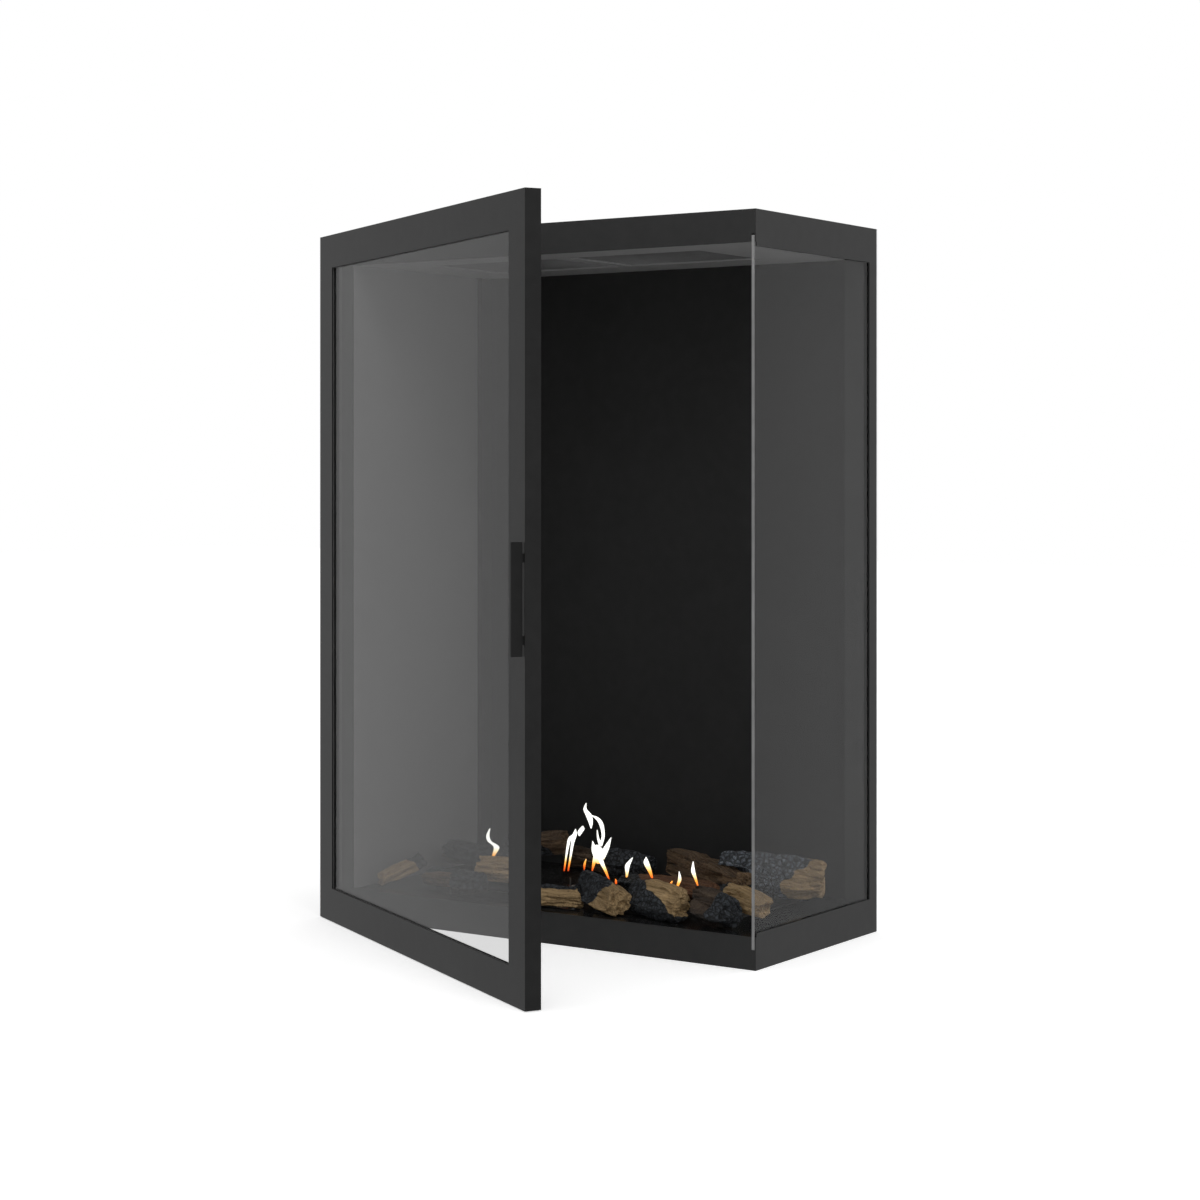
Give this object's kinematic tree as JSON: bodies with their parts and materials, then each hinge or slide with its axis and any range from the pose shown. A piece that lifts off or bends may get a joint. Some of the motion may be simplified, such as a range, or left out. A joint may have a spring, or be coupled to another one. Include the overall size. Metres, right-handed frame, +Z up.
{
  "type": "corner fireplace",
  "caption": "Built-in corner fireplace with glass on the front and right, a side-hung framed glass door, a log set over a burner, and a top flue collar.",
  "frame": {"origin": "centre of the body's base face", "axes": "+X to the viewer's right along the front, +Y from the front to the back, +Z up"},
  "size_m": [0.6725, 0.6679, 0.928],
  "materials": {
    "black_steel": "matt black powder coat",
    "handle_black": "matt black powder coat",
    "liner_black": "heat-proof matt black",
    "liner_satin": "heat-proof satin black",
    "hearth_steel": "heat-proof satin black",
    "stainless": "brushed stainless steel",
    "polished_steel": "polished stainless steel",
    "zinc": "zinc-plated steel",
    "brass": "plain brass",
    "board": "pressed mineral board",
    "seal_fibre": "graphite-coated glass fibre",
    "porcelain": "glazed white",
    "magnet": "nickel-plated",
    "glass": "clear ceramic glass",
    "log_split": "cast ceramic fibre, split wood",
    "log_charred": "cast ceramic fibre, charred wood"
  },
  "bodies": {
    "body": {"base_plate": "black_steel", "weld_nuts": "zinc", "front_lower_band": "black_steel", "front_upper_band": "black_steel", "side_lower_rail": "black_steel", "side_upper_rail": "black_steel", "hearth_plate": "hearth_steel", "air_deflector": "polished_steel", "left_side_panel": "black_steel", "back_panel": "zinc", "back_panel_screws": "zinc", "top_plate": "zinc", "flue_collar": "stainless", "left_inner_wall": "liner_satin", "left_post": "black_steel", "back_wall": "liner_black", "rear_right_post": "black_steel", "side_insulation": "board", "rear_insulation": "board", "side_glass": "glass", "ceiling_panel": "liner_satin", "ceiling_grille_left": "liner_black", "ceiling_grille_right": "liner_black", "burner_box": "stainless", "burner_cover": "hearth_steel", "burner_pipes": "stainless", "gas_manifold": "stainless", "gas_inlet_fitting": "brass", "pilot_burner": "stainless", "pilot_electrodes": "porcelain", "hinge_body_knuckles": "black_steel", "hinge_pins": "stainless", "hinge_washers": "brass", "log_back_left": "log_split", "log_back_middle": "log_charred", "log_back_right": "log_split", "log_right_side": "log_charred", "log_hot_plank": "log_split", "log_front_dark": "log_charred", "log_front_charred": "log_split", "log_front_split": "log_split", "log_front_left": "log_split", "log_fork": "log_split", "log_left_thick": "log_split", "log_left_dark": "log_charred", "log_left_brown": "log_split", "log_left_end": "log_split", "log_left_rear": "log_split"},
    "door": {"door_top_rail": "black_steel", "door_bottom_rail": "black_steel", "door_hinge_stile": "black_steel", "door_latch_stile": "black_steel", "door_glass": "glass", "door_glass_seal": "seal_fibre", "glass_retainers": "black_steel", "door_screws": "zinc", "door_gasket": "seal_fibre", "door_magnets": "magnet", "door_handle": "handle_black", "hinge_door_knuckles": "black_steel"}
  },
  "joints": [
    {"name": "door_hinge", "type": "hinge", "parent": "body", "child": "door", "pos_m": [-0.3317, -0.1566, 0.46], "axis": [0, 0, -1], "range_deg": [-29.33, 60.67]}
  ]
}
